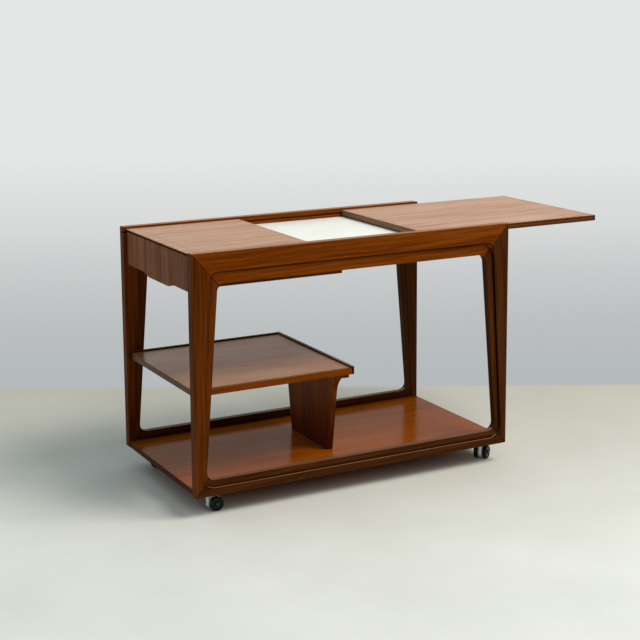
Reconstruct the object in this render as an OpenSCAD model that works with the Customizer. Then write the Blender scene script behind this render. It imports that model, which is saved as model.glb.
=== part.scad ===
// Bar cart with two sliding table leaves, a drawer at one end and four twin-wheel casters.
// Millimetres. The origin is on the floor under the middle of the two upright frames.
// +X runs along the cart towards the end where a leaf slides out, -X is the drawer end,
// the front is -Y and +Z is up. The right leaf is drawn slid out, as on show.

/* [Frames] */
// Length of each upright frame, along the cart
frame_length = 900; // [820:10:1000]
// Height of each frame, from its lower edge to its top
frame_height = 596; // [560:2:640]
// Thickness of the frame timber
frame_thickness = 23.5; // [22:0.5:28]
// Depth of the cart over both frames
cart_depth = 476; // [440:2:520]
// Height of the top rail
top_rail_height = 78; // [76:1:88]
// Height of the bottom rail
bottom_rail_height = 38; // [36:1:46]
// Width of a leg at the top of the frame's opening
leg_top_width = 69; // [60:1:78]
// Width of a leg at the foot of the frame's opening
leg_foot_width = 30.5; // [28:0.5:40]
// Radius of the rounded corners of the opening
opening_radius = 21; // [14:1:26]
// Radius of the frame's own outer corners
corner_radius = 3; // [1:0.5:5]
// Width of the eased edge round the outside face
edge_ease = 1.2; // [0.5:0.1:2]

/* [Frame moulding] */
// How far the sunk band lies below the raised band
step_depth = 6; // [3:0.5:7]
// Raised band on the top rail
band_top = 47; // [40:1:52]
// Raised band on the bottom rail
band_foot = 19; // [14:1:24]
// Raised band on a leg, level with the top of the opening
band_leg_top = 46; // [40:1:52]
// Raised band on a leg, level with the foot of the opening
band_leg_foot = 17; // [13:1:20]
// Radius of the step line at the upper corners
step_top_radius = 42; // [30:1:50]
// Radius of the step line at the lower corners
step_foot_radius = 34; // [24:1:40]

/* [Frame joints] */
// Thickness of the loose tongue in each mitre
spline_thickness = 4; // [3:0.5:5]
// Width of the loose tongue across an upper mitre
spline_top_width = 24; // [18:1:26]
// Width of the loose tongue across a lower mitre
spline_foot_width = 14; // [10:1:16]
// Length of the loose tongue in an upper mitre
spline_top_length = 46; // [30:1:50]
// Length of the loose tongue in a lower mitre
spline_foot_length = 20; // [14:1:22]
// Distance of the loose tongue from the frame's inner face
spline_inset = 11; // [10:0.5:12]
// Diameter of the dowels
dowel_d = 8; // [6:1:8]
// Length of a dowel
dowel_length = 26; // [22:1:28]
// How far a dowel goes into the piece that it ends in
dowel_in_frame = 12; // [9:0.5:12]
// How far an upright dowel goes into a panel
dowel_in_panel = 9; // [7:0.5:10]
// Distance between the dowels along a board
side_dowel_spacing = 300; // [240:5:330]
// Distance of the shelf's dowel from the end of the frames
shelf_dowel_inset = 28; // [24:1:32]
// Height of the end rail's lower dowel above the rail's lower edge
end_dowel_rise = 8; // [7:1:12]
// Distance between the end rail's dowels
end_dowel_spacing = 16; // [12:1:18]
// Distance between the dowels of the pier
pier_dowel_spacing = 70; // [50:1:78]
// Side clearance of dowels and loose tongues in their holes
joint_gap = 0.1; // [0.05:0.05:0.2]

/* [Leaves] */
// Thickness of a table leaf
leaf_thickness = 15; // [14:0.5:18]
// How far the leaves lie below the top of the frames
leaf_sink = 5.5; // [3:0.5:9]
// How far the left leaf ends inside the left end of the frames
leaf_setback = 9; // [6:0.5:14]
// How far the closed right leaf ends inside the right end of the frames
right_setback = 13.5; // [8:0.5:16]
// Clearance between a leaf's edge and the frame
leaf_side_gap = 0.3; // [0.3:0.1:0.6]
// Where the closed leaves meet, measured from the middle of the cart
leaf_joint_x = -118; // [-160:0.5:-60]
// Gap between the closed leaves
leaf_joint_gap = 1; // [0.5:0.5:2]
// How far the right leaf is slid out
right_leaf_out = 317.5; // [300:0.5:360]
// Width of the solid edges round a leaf
leaf_edge_width = 12.5; // [10:0.5:16]
// Width of the solid end over the drawer front
lip_end_width = 26; // [24:1:34]
// Thickness of the lip that is left over the drawer front
lip_thickness = 3; // [2.5:0.5:5]
// Clearance behind the drawer front in the leaf's rebate
rebate_gap = 1; // [0.5:0.5:2]
// Height of the tongue along a leaf
tongue_height = 6; // [5:0.5:7]
// How far the tongue stands out of the leaf
tongue_depth = 6.5; // [5:0.5:8]
// Height of the tongue above the leaf's underside
tongue_rise = 3.25; // [2.5:0.25:4]
// Clearance above and below the tongue in its groove
groove_gap = 0.25; // [0.2:0.05:0.4]
// Clearance behind the tongue in its groove
groove_depth_gap = 0.5; // [0.5:0.1:0.9]

/* [Well between the leaves] */
// Height from the white board up to the leaves
well_gap = 3.5; // [2:0.5:5]
// Thickness of the board
well_board_thickness = 11; // [10:0.5:14]
// Thickness of the white laminate on the board
laminate_thickness = 1; // [0.8:0.1:1.5]
// Thickness of the rail across the open end
end_rail_thickness = 16; // [14:0.5:20]
// Gap between the end rail and the leaf that slides over it
end_rail_gap = 1; // [0.5:0.5:2]
// How far the end rail stands inside the end of the closed leaves
end_rail_inset = 1; // [0.5:0.5:3]
// Gap between the white board and the drawer front
well_front_gap = 0.5; // [0.3:0.1:1]

/* [Drawer] */
// How far the drawer front is set in from the end of the frames
drawer_setback = 10; // [7:0.5:14]
// Thickness of the drawer front
drawer_front_thickness = 16; // [14:0.5:20]
// Height of the drawer front
drawer_front_height = 86; // [82:1:90]
// Gap between the drawer front and the leaf's lip
drawer_top_gap = 4.5; // [2:0.5:6]
// Clearance at each side of the drawer front
drawer_side_gap = 0.5; // [0.3:0.1:1]
// Length of the drawer box behind its front
drawer_length = 396; // [340:2:400]
// Height of the drawer's sides
drawer_side_height = 51; // [46:1:52]
// Thickness of the drawer's sides and back
drawer_side_thickness = 12; // [11:0.5:14]
// Gap between a drawer side and the frame, filled by the runner
drawer_runner_gap = 13.5; // [11:0.5:16]
// How far the drawer's sides end above the lower edge of its front
drawer_rise = 7; // [4:0.5:9]
// How far the drawer's back ends below its sides
drawer_back_drop = 4; // [2:0.5:6]
// Thickness of the drawer bottom
drawer_bottom_thickness = 6; // [4:0.5:7]
// Depth of the grooves that hold the drawer bottom
drawer_bottom_groove = 5; // [3:0.5:6]
// Height of the drawer bottom above the lower edge of the sides
drawer_bottom_rise = 5; // [4:0.5:8]
// Length of the finger pull along the lower edge, with its slanted ends
pull_length = 196; // [160:2:230]
// Length of the straight part of the finger pull
pull_flat_length = 130; // [100:2:150]
// How far the finger pull hangs below the drawer front
pull_drop = 8.5; // [6:0.5:12]

/* [Drawer runners] */
// Height of a wooden runner
runner_height = 9; // [8:0.5:11]
// How far a runner reaches into the drawer side
runner_in_side = 7; // [5:0.5:7]
// Height of a runner's lower edge above the lower edge of the drawer sides
runner_rise = 28; // [22:0.5:32]
// Clearance round a runner in the drawer's groove
runner_gap = 0.3; // [0.2:0.05:0.5]
// Distance of the runner's front end behind the drawer front
runner_start = 6; // [4:1:12]
// Diameter of the screws that hold a runner
runner_screw_d = 3.5; // [3:0.5:4]
// Diameter of their heads
runner_screw_head_d = 6.8; // [6:0.2:7.4]
// Height of their heads
runner_screw_head = 2.5; // [2:0.1:3]
// How far their heads are sunk below the runner's face
runner_screw_sink = 0.5; // [0.3:0.1:1]
// How far they go into the frame
runner_screw_in_frame = 10; // [8:0.5:12]
// Distance of the end screws from the ends of a runner
runner_screw_inset = 31; // [20:1:60]

/* [Middle shelf] */
// Height of the shelf board's upper face above the floor
shelf_top = 312.5; // [280:0.5:360]
// Thickness of the shelf board
shelf_thickness = 15.5; // [14:0.5:18]
// Where the shelf ends, measured from the middle of the cart
shelf_end_x = 0; // [-60:1:60]
// How far the shelf is set in from the end of the frames
shelf_setback = 10; // [4:1:14]
// Width of the solid edge along the front
shelf_lipping = 12; // [8:0.5:16]
// Width of the raised edge at the end
end_rim_width = 8; // [8:0.5:14]
// Width of the raised edge along the back
back_rim_width = 8; // [6:0.5:12]
// Height of the raised edges above the board
rim_height = 4; // [2:0.5:8]
// Radius of the shelf's free front corner
shelf_corner_radius = 5; // [3:0.5:7]

/* [Pier under the shelf] */
// Thickness of the pier
pier_thickness = 16; // [14:0.5:20]
// How far the pier stands back from the end of the shelf
pier_setback = 4.5; // [1:0.5:8]
// Half the width of the pier at its foot
pier_foot_half = 102; // [90:1:110]
// Lean of its straight sides, outward for each millimetre up
pier_lean = 0.16; // [0.12:0.005:0.18]
// Radius of the sweep out to the shelf
pier_radius = 64; // [56:1:70]
// Height of the plain band under the shelf
pier_band = 14; // [10:0.5:18]
// How far the band ends inside the frames
pier_end_gap = 22.5; // [14:0.5:30]

/* [Bottom panel] */
// Thickness of the bottom panel
bottom_thickness = 15; // [14:0.5:18]
// How far the panel lies above the lower edge of the frames
bottom_lift = 1; // [0.5:0.5:3]
// How far the panel ends inside the ends of the frames
bottom_setback = 2; // [1:0.5:4]

/* [Casters] */
// Height from the floor to the underside of the bottom panel
caster_height = 54; // [53:0.5:60]
// Distance of a caster's swivel from the end of the frames
caster_end_inset = 50.5; // [42:0.5:60]
// Distance of a caster's swivel from the inner face of a frame
caster_side_inset = 24.5; // [23.5:0.5:34]
// Diameter of a wheel
wheel_d = 36; // [34:1:40]
// Width of one wheel
wheel_width = 12; // [10:0.5:13]
// Radius of the wheel's rounded rims
wheel_edge_radius = 2.5; // [1.5:0.5:4]
// Depth of the hollow round the hub
wheel_dish = 1.5; // [1:0.5:3]
// Width of the flat rim round the hollow
wheel_rim = 1; // [0.5:0.5:2]
// Radius of the raised hub
hub_r = 6; // [5.5:0.5:7]
// Width of the metal hood between the wheels
hood_width = 11.5; // [10:0.5:13]
// Clearance between a wheel and the hood
hood_gap = 0.4; // [0.3:0.1:0.8]
// How far the hood's round stands out past the wheel's
hood_rim = 0.5; // [0:0.5:1.5]
// Height of the hood's lower edge above the floor
hood_foot = 5; // [4:0.5:10]
// Distance from the swivel axis to the wheels' axle
trail = 17.5; // [16:0.5:22]
// Diameter of the axle
axle_d = 6; // [5:0.5:7]
// Diameter of the axle's round heads
axle_head_d = 8.6; // [8:0.2:10]
// Thickness of the axle's heads
axle_head = 1.2; // [0.8:0.1:2]
// Running clearance of the axle and the stem, on the radius
running_gap = 0.05; // [0.03:0.01:0.08]
// Radius of the hood's upright socket
socket_r = 5.4; // [5:0.1:5.6]
// Diameter of the stem that the hood swivels on
stem_d = 6.4; // [5.6:0.2:7]
// Height of the socket's lower end above the floor
socket_foot = 14; // [12:1:20]
// Height of the top of the socket above the floor
socket_top = 46.5; // [43:0.5:47.5]
// How far the stem reaches down into the socket
stem_depth = 22; // [14:1:26]
// Clearance below the stem in the socket
stem_end_gap = 1; // [0.5:0.5:2]
// Radius of the bearing collar above the socket
collar_r = 8.5; // [7:0.5:9.5]
// Clearance between the collar and the socket
collar_gap = 0.3; // [0.2:0.1:0.5]
// Side of the square mounting plate
plate_side = 38; // [36:1:42]
// Thickness of the mounting plate
plate_thickness = 2.5; // [2:0.5:3]
// Radius of the mounting plate's corners
plate_corner_radius = 5; // [3:0.5:8]
// Distance between the screws of a plate
plate_screw_spacing = 26; // [25:0.5:28]
// Diameter of the plate's screws
plate_screw_d = 4; // [3.5:0.5:4.5]
// Diameter of their heads
plate_screw_head_d = 7.6; // [7:0.2:8.4]
// Height of their heads
plate_screw_head = 2; // [1.5:0.1:2.2]
// How far they go into the bottom panel
plate_screw_depth = 11; // [9:0.5:12]

/* [Hidden] */
$fn = 48;
past = 1;
frame_x = frame_length / 2;
inner_y = cart_depth / 2 - frame_thickness;
bottom_z = caster_height;
bottom_top_z = bottom_z + bottom_thickness;
frame_z = bottom_z - bottom_lift;
frame_top_z = frame_z + frame_height;
opening_top_z = frame_top_z - top_rail_height;
opening_foot_z = frame_z + bottom_rail_height;

// The two leaves and the groove that their tongues run in
leaf_top_z = frame_top_z - leaf_sink;
leaf_z = leaf_top_z - leaf_thickness;
leaf_y = inner_y - leaf_side_gap;
groove_z = leaf_z + tongue_rise - groove_gap;
groove_height = tongue_height + 2 * groove_gap;
groove_depth = tongue_depth - leaf_side_gap + groove_depth_gap;
left_leaf = [leaf_setback - frame_x, leaf_joint_x - leaf_joint_gap / 2];
right_leaf_closed = [leaf_joint_x + leaf_joint_gap / 2, frame_x - right_setback];
right_leaf = [right_leaf_closed[0] + right_leaf_out, right_leaf_closed[1] + right_leaf_out];

// The drawer and what it runs on
drawer_x = -(frame_x - drawer_setback);
drawer_back_of_front = drawer_x + drawer_front_thickness;
drawer_top_z = leaf_top_z - lip_thickness - drawer_top_gap;
drawer_front_z = drawer_top_z - drawer_front_height;
drawer_side_z = drawer_front_z + drawer_rise;
drawer_outer_y = inner_y - drawer_runner_gap;
drawer_inner_y = drawer_outer_y - drawer_side_thickness;
drawer_end_x = drawer_back_of_front + drawer_length;
drawer_bottom_z = drawer_side_z + drawer_bottom_rise;
drawer_bottom_top_z = drawer_bottom_z + drawer_bottom_thickness;
runner_z = drawer_side_z + runner_rise;
runner_y = drawer_outer_y - runner_in_side;
runner_x = drawer_back_of_front + runner_start;
runner_length = drawer_length - runner_start;
rebate_length = drawer_back_of_front + rebate_gap - left_leaf[0];

// The white board, the end rail, the shelf and its pier
end_rail_x = right_leaf_closed[1] - end_rail_inset - end_rail_thickness;
well_top_z = leaf_z - well_gap;
well_board_z = well_top_z - laminate_thickness - well_board_thickness;
well_x = drawer_back_of_front + well_front_gap;
shelf_z = shelf_top - shelf_thickness;
shelf_x = -(frame_x - shelf_setback);
shelf_rim_x = shelf_end_x - end_rim_width;
pier_x = shelf_end_x - pier_setback - pier_thickness;
pier_half = inner_y - pier_end_gap;

// Dowels along Y, each at [x, z], that fix what spans between the frames
side_dowels = concat(
    [for (z = [bottom_z + bottom_thickness / 2, well_board_z + well_board_thickness / 2],
        k = [-1:1]) [k * side_dowel_spacing, z]],
    [for (k = [0:1]) [end_rail_x + end_rail_thickness / 2,
        opening_top_z + end_dowel_rise + k * end_dowel_spacing]],
    [[shelf_dowel_inset - frame_x, shelf_z + shelf_thickness / 2]]);
pier_dowel_y = [for (k = [-1:1]) k * pier_dowel_spacing];
runner_screw_x = [for (k = [-1:1])
    runner_x + runner_length / 2 + k * (runner_length / 2 - runner_screw_inset)];

// The casters: name, signs of x and y, and the way the wheels trail
caster_x = frame_x - caster_end_inset;
caster_y = inner_y - caster_side_inset;
corners = [
    ["front_left", -1, -1, 4],
    ["front_right", 1, -1, 37],
    ["back_left", -1, 1, -24],
    ["back_right", 1, 1, 63]];
sides = ["near", "far"];

frame_wood = [0.47, 0.25, 0.1];
leaf_wood = [0.66, 0.48, 0.39];
edge_wood = [0.42, 0.2, 0.08];
drawer_wood = [0.42, 0.26, 0.17];
panel_wood = [0.5, 0.3, 0.17];
pier_wood = [0.32, 0.15, 0.07];
pale_wood = [0.78, 0.66, 0.48];
white = [0.93, 0.91, 0.87];
metal = [0.62, 0.63, 0.65];
black = [0.06, 0.06, 0.07];

// Helpers: an outline with rounded corners, as a polygon and a circle at each corner
function unit(v) = v / norm(v);
function half_angle(p, a, b) = acos(unit(a - p) * unit(b - p)) / 2;
function reach(p, a, b, r) = r / tan(half_angle(p, a, b));
function round_centre(p, a, b, r) =
    p + unit(unit(a - p) + unit(b - p)) * r / sin(half_angle(p, a, b));

module rounded_outline(points, radii) {
    n = len(points);
    polygon([for (i = [0 : n - 1]) let (p = points[i], a = points[(i + n - 1) % n],
        b = points[(i + 1) % n], t = reach(p, a, b, radii[i]))
        each (radii[i] > 0 ? [p + unit(a - p) * t, p + unit(b - p) * t] : [p])]);
    for (i = [0 : n - 1]) {
        if (radii[i] > 0) {
            translate(round_centre(points[i], points[(i + n - 1) % n],
                points[(i + 1) % n], radii[i]))
                circle(r = radii[i]);
        }
    }
}

// What a rounded corner of radius r takes off a lower right corner at the origin
module rounding_cut(r) {
    difference() {
        translate([-r, -past]) square([r + past, r + past]);
        translate([-r, r]) circle(r = r);
    }
}

// Turns an outline drawn in X and Z into a slab from y = at towards the front
module upright(at, thickness) {
    translate([0, at, 0])
        rotate([90, 0, 0])
            linear_extrude(thickness) children();
}

// A frame seen from the front: corner points from the upper left, clockwise
frame_corners = [[-frame_x, frame_top_z], [frame_x, frame_top_z], [frame_x, frame_z],
    [-frame_x, frame_z]];
opening_corners = [
    [leg_top_width - frame_x, opening_top_z], [frame_x - leg_top_width, opening_top_z],
    [frame_x - leg_foot_width, opening_foot_z], [leg_foot_width - frame_x, opening_foot_z]];
opening_height = opening_top_z - opening_foot_z;
function band_leg(z) =
    band_leg_foot + (band_leg_top - band_leg_foot) * (z - opening_foot_z) / opening_height;
step_top_z = frame_top_z - band_top;
step_foot_z = frame_z + band_foot;
step_corners = [
    [band_leg(step_top_z) - frame_x, step_top_z], [frame_x - band_leg(step_top_z), step_top_z],
    [frame_x - band_leg(step_foot_z), step_foot_z],
    [band_leg(step_foot_z) - frame_x, step_foot_z]];
function mitre_way(i) = unit(opening_corners[i] - frame_corners[i]);
function mitre_end(i) = opening_corners[i] + mitre_way(i) * opening_radius;
function mitre_middle(i) = (frame_corners[i] + opening_corners[i]) / 2;

module frame_outline() {
    rounded_outline(frame_corners, [for (i = [0:3]) corner_radius]);
}

module member_area(i) {
    j = (i + 1) % 4;
    polygon([frame_corners[i], frame_corners[j], mitre_end(j), mitre_end(i)]);
}

// The bevel that eases one outer edge, between two corners of the frame
module ease_cut(i) {
    a = frame_corners[i];
    b = frame_corners[(i + 1) % 4];
    along = unit(b - a);
    translate([a[0], -cart_depth / 2, a[1]])
        rotate([0, atan2(-along[1], along[0]), 0])
            translate([-past, 0, 0])
                rotate([90, 0, 90])
                    linear_extrude(norm(b - a) + 2 * past)
                        polygon([[-past, past], [-past, -edge_ease - past],
                            [edge_ease + past, past]]);
}

// The slot for a mitre's loose tongue, or the tongue itself when gap is 0
module spline_body(i, gap) {
    length = i < 2 ? spline_top_length : spline_foot_length;
    width = i < 2 ? spline_top_width : spline_foot_width;
    way = mitre_way(i);
    translate([mitre_middle(i)[0], -inner_y - spline_inset, mitre_middle(i)[1]])
        rotate([0, atan2(-way[1], way[0]), 0])
            cube([length + 2 * gap, spline_thickness + 2 * gap, width + 2 * gap],
                center = true);
}

module dowel(x, z, gap) {
    translate([x, -inner_y + dowel_length - dowel_in_frame + gap, z])
        rotate([90, 0, 0])
            cylinder(d = dowel_d + 2 * gap, h = dowel_length + 2 * gap);
}

module side_dowel_set(gap) {
    for (p = side_dowels) {
        dowel(p[0], p[1], gap);
    }
}

module both_sides() {
    children();
    mirror([0, 1, 0]) children();
}

// One mitred member of the front frame: 0 top rail, 1 right leg, 2 bottom rail, 3 left leg
module frame_member(i) {
    j = (i + 1) % 4;
    difference() {
        union() {
            upright(-inner_y, frame_thickness - step_depth)
                intersection() {
                    difference() {
                        frame_outline();
                        rounded_outline(opening_corners, [for (k = [0:3]) opening_radius]);
                    }
                    member_area(i);
                }
            upright(-inner_y - frame_thickness + step_depth, step_depth)
                intersection() {
                    difference() {
                        frame_outline();
                        rounded_outline(step_corners, [step_top_radius, step_top_radius,
                            step_foot_radius, step_foot_radius]);
                    }
                    member_area(i);
                }
        }
        ease_cut(i);
        ease_cut(j);
        ease_cut((i + 3) % 4);
        spline_body(i, joint_gap);
        spline_body(j, joint_gap);
        translate([-frame_x - past, -inner_y - groove_depth, groove_z])
            cube([frame_length + 2 * past, groove_depth + past, groove_height]);
        side_dowel_set(joint_gap);
        runner_screw_set(joint_gap);
    }
}

module frame_piece(i) {
    color(frame_wood) frame_member(i);
}

module mitre_splines() {
    color(pale_wood)
        for (i = [0:3]) {
            spline_body(i, 0);
        }
}

module side_dowels() {
    color(pale_wood)
        both_sides()
            side_dowel_set(0);
}

// A board between the frames: [x from, x to], its lower face, and its thickness
module board(span, z, thickness) {
    translate([span[0], -inner_y, z])
        cube([span[1] - span[0], 2 * inner_y, thickness]);
}

module right_end_rail() {
    color(frame_wood)
        difference() {
            board([end_rail_x, end_rail_x + end_rail_thickness], opening_top_z,
                leaf_z - end_rail_gap - opening_top_z);
            both_sides()
                side_dowel_set(joint_gap);
        }
}

module well_board() {
    color(pale_wood)
        difference() {
            board([well_x, end_rail_x], well_board_z, well_board_thickness);
            both_sides()
                side_dowel_set(joint_gap);
        }
}

module well_laminate() {
    color(white)
        board([well_x, end_rail_x], well_top_z - laminate_thickness, laminate_thickness);
}

module bottom_panel() {
    color(panel_wood)
        difference() {
            board([bottom_setback - frame_x, frame_x - bottom_setback], bottom_z,
                bottom_thickness);
            both_sides()
                side_dowel_set(joint_gap);
            pier_dowel_set(bottom_top_z, joint_gap);
            for (c = corners) {
                caster_place(c, 0)
                    plate_screw_set(joint_gap);
            }
        }
}

// Middle shelf: a board with a solid edge at the front and raised edges at the end and back
module shelf_panel() {
    color(panel_wood)
        difference() {
            translate([shelf_x, -inner_y + shelf_lipping, shelf_z])
                cube([shelf_rim_x - shelf_x, 2 * inner_y - shelf_lipping - back_rim_width,
                    shelf_thickness]);
            both_sides()
                side_dowel_set(joint_gap);
            pier_dowel_set(shelf_z, joint_gap);
        }
}

module shelf_front_lipping() {
    color(edge_wood)
        difference() {
            translate([shelf_x, -inner_y, shelf_z])
                cube([shelf_rim_x - shelf_x, shelf_lipping, shelf_thickness]);
            side_dowel_set(joint_gap);
        }
}

module shelf_end_rim() {
    color(edge_wood)
        difference() {
            translate([0, 0, shelf_z])
                linear_extrude(shelf_thickness + rim_height)
                    difference() {
                        translate([shelf_rim_x, -inner_y])
                            square([end_rim_width, 2 * inner_y]);
                        translate([shelf_end_x, -inner_y]) rounding_cut(shelf_corner_radius);
                        translate([shelf_end_x, inner_y])
                            mirror([0, 1]) rounding_cut(edge_ease);
                    }
            pier_dowel_set(shelf_z, joint_gap);
        }
}

module shelf_back_rim() {
    color(edge_wood)
        difference() {
            translate([shelf_x, inner_y - back_rim_width, shelf_z])
                cube([shelf_rim_x - shelf_x, back_rim_width, shelf_thickness + rim_height]);
            mirror([0, 1, 0])
                side_dowel_set(joint_gap);
        }
}

// Pier: leaning sides that sweep out to carry the shelf over its whole depth
pier_arc_top = shelf_z - pier_band;
pier_arc_z = pier_arc_top - pier_radius;
pier_touch_z = pier_arc_z + pier_radius * sin(atan(pier_lean));
pier_touch_y = pier_foot_half + pier_lean * (pier_touch_z - bottom_top_z);
pier_arc_y = pier_touch_y + pier_radius * cos(atan(pier_lean));

module pier_outline() {
    difference() {
        polygon([[-pier_foot_half, bottom_top_z], [-pier_touch_y, pier_touch_z],
            [-pier_half, pier_touch_z], [-pier_half, shelf_z], [pier_half, shelf_z],
            [pier_half, pier_touch_z], [pier_touch_y, pier_touch_z],
            [pier_foot_half, bottom_top_z]]);
        for (s = [-1, 1]) {
            translate([s * pier_arc_y, pier_arc_z])
                circle(r = pier_radius, $fn = 96);
        }
    }
}

module pier_dowel_set(z, gap) {
    for (y = pier_dowel_y) {
        translate([pier_x + pier_thickness / 2, y, z - (z > bottom_top_z ?
            dowel_length - dowel_in_panel : dowel_in_panel) - gap])
            cylinder(d = dowel_d + 2 * gap, h = dowel_length + 2 * gap);
    }
}

module shelf_pier() {
    color(pier_wood)
        difference() {
            translate([pier_x, 0, 0])
                rotate([90, 0, 90])
                    linear_extrude(pier_thickness) pier_outline();
            pier_dowel_set(bottom_top_z, joint_gap);
            pier_dowel_set(shelf_z, joint_gap);
        }
}

module pier_dowels() {
    color(pale_wood) {
        pier_dowel_set(bottom_top_z, 0);
        pier_dowel_set(shelf_z, 0);
    }
}

// A leaf lies at span = [x from, x to]; ends = [width of its left end, of its right end]
module leaf_slab(x, length, y, depth) {
    translate([x, y, leaf_z])
        cube([length, depth, leaf_thickness]);
}

module leaf_panel(span, ends) {
    color(leaf_wood)
        leaf_slab(span[0] + ends[0], span[1] - span[0] - ends[0] - ends[1],
            leaf_edge_width - leaf_y, 2 * (leaf_y - leaf_edge_width));
}

module leaf_front_edge(span, ends) {
    x = span[0] + ends[0];
    length = span[1] - ends[1] - x;
    color(edge_wood) {
        leaf_slab(x, length, -leaf_y, leaf_edge_width);
        translate([x, -leaf_y - tongue_depth, leaf_z + tongue_rise])
            cube([length, tongue_depth + past, tongue_height]);
    }
}

module leaf_end(x, width) {
    color(edge_wood)
        leaf_slab(x, width, -leaf_y, 2 * leaf_y);
}

left_ends = [lip_end_width, leaf_edge_width];
right_ends = [leaf_edge_width, leaf_edge_width];

module left_leaf_panel() {
    leaf_panel(left_leaf, left_ends);
}

module left_leaf_front_edge() {
    leaf_front_edge(left_leaf, left_ends);
}

module left_leaf_back_edge() {
    mirror([0, 1, 0]) leaf_front_edge(left_leaf, left_ends);
}

module left_leaf_inner_end() {
    leaf_end(left_leaf[1] - leaf_edge_width, leaf_edge_width);
}

// The left leaf's outer end is rebated, so that only a thin lip covers the drawer front
module left_leaf_outer_end() {
    difference() {
        leaf_end(left_leaf[0], lip_end_width);
        translate([left_leaf[0] - past, -inner_y, leaf_z - past])
            cube([rebate_length + past, 2 * inner_y, leaf_thickness - lip_thickness + past]);
    }
}

module right_leaf_panel() {
    leaf_panel(right_leaf, right_ends);
}

module right_leaf_front_edge() {
    leaf_front_edge(right_leaf, right_ends);
}

module right_leaf_back_edge() {
    mirror([0, 1, 0]) leaf_front_edge(right_leaf, right_ends);
}

module right_leaf_inner_end() {
    leaf_end(right_leaf[0], leaf_edge_width);
}

module right_leaf_outer_end() {
    leaf_end(right_leaf[1] - leaf_edge_width, leaf_edge_width);
}

// The panel that forms the drawer's bottom, or its groove when gap is above 0
module drawer_bottom_body(gap) {
    translate([drawer_back_of_front - drawer_bottom_groove - gap,
        -drawer_inner_y - drawer_bottom_groove - gap, drawer_bottom_z - gap])
        cube([drawer_length + drawer_bottom_groove + 2 * gap,
            2 * (drawer_inner_y + drawer_bottom_groove + gap),
            drawer_bottom_thickness + 2 * gap]);
}

module drawer_front() {
    half = inner_y - drawer_side_gap;
    color(drawer_wood)
        difference() {
            translate([drawer_x, 0, 0])
                rotate([90, 0, 90])
                    linear_extrude(drawer_front_thickness)
                        polygon([[-half, drawer_top_z], [-half, drawer_front_z],
                            [-pull_length / 2, drawer_front_z],
                            [-pull_flat_length / 2, drawer_front_z - pull_drop],
                            [pull_flat_length / 2, drawer_front_z - pull_drop],
                            [pull_length / 2, drawer_front_z],
                            [half, drawer_front_z], [half, drawer_top_z]]);
            drawer_bottom_body(joint_gap);
        }
}

module drawer_near_side() {
    color(pale_wood)
        difference() {
            translate([drawer_back_of_front, -drawer_outer_y, drawer_side_z])
                cube([drawer_length, drawer_side_thickness, drawer_side_height]);
            drawer_bottom_body(joint_gap);
            translate([drawer_back_of_front - past, -drawer_outer_y - past,
                runner_z - runner_gap])
                cube([drawer_length + 2 * past, runner_in_side + runner_gap + past,
                    runner_height + 2 * runner_gap]);
        }
}

module drawer_far_side() {
    mirror([0, 1, 0]) drawer_near_side();
}

module drawer_back() {
    color(pale_wood)
        translate([drawer_end_x - drawer_side_thickness, -drawer_inner_y,
            drawer_bottom_top_z])
            cube([drawer_side_thickness, 2 * drawer_inner_y,
                drawer_side_z + drawer_side_height - drawer_bottom_top_z - drawer_back_drop]);
}

module drawer_bottom() {
    color(pale_wood) drawer_bottom_body(0);
}

// Runner screws lie along Y, sunk in the runner and driven into the front rail
module runner_screw_set(gap) {
    length = runner_screw_in_frame + inner_y - runner_y - runner_screw_sink;
    for (x = runner_screw_x) {
        translate([x, -inner_y - runner_screw_in_frame, runner_z + runner_height / 2])
            rotate([-90, 0, 0]) {
                translate([0, 0, -gap])
                    cylinder(d = runner_screw_d + 2 * gap, h = length + gap);
                translate([0, 0, length - runner_screw_head])
                    cylinder(d = runner_screw_head_d + 2 * gap,
                        h = runner_screw_head + (gap > 0 ? runner_screw_sink + past : 0));
            }
    }
}

module front_runner() {
    color(pale_wood)
        difference() {
            translate([runner_x, -inner_y, runner_z])
                cube([runner_length, inner_y - runner_y, runner_height]);
            runner_screw_set(joint_gap);
        }
}

module back_runner() {
    mirror([0, 1, 0]) front_runner();
}

module runner_screws() {
    color(metal)
        both_sides()
            runner_screw_set(0);
}

// Places a caster piece that is drawn about its swivel axis; turned = 1 follows the wheels
module caster_place(c, turned) {
    translate([c[1] * caster_x, c[2] * caster_y, 0])
        rotate([0, 0, turned * c[3]])
            children();
}

module plate_screw_set(gap) {
    half = plate_screw_spacing / 2;
    for (x = [-half, half], y = [-half, half]) {
        translate([x, y, bottom_z - plate_thickness - gap]) {
            cylinder(d = plate_screw_d + 2 * gap,
                h = plate_thickness + plate_screw_depth + 2 * gap);
            translate([0, 0, -plate_screw_head])
                cylinder(d = plate_screw_head_d, h = plate_screw_head + gap);
        }
    }
}

module caster_plate(c) {
    half = plate_side / 2;
    collar_z = socket_top + collar_gap;
    color(metal)
        caster_place(c, 0)
            difference() {
                union() {
                    translate([0, 0, bottom_z - plate_thickness])
                        linear_extrude(plate_thickness)
                            rounded_outline([[-half, half], [half, half], [half, -half],
                                [-half, -half]], [for (i = [0:3]) plate_corner_radius]);
                    translate([0, 0, collar_z])
                        cylinder(r = collar_r, h = bottom_z - plate_thickness - collar_z);
                    translate([0, 0, socket_top - stem_depth])
                        cylinder(d = stem_d, h = bottom_z - plate_thickness - socket_top
                            + stem_depth);
                }
                plate_screw_set(joint_gap);
            }
}

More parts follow.
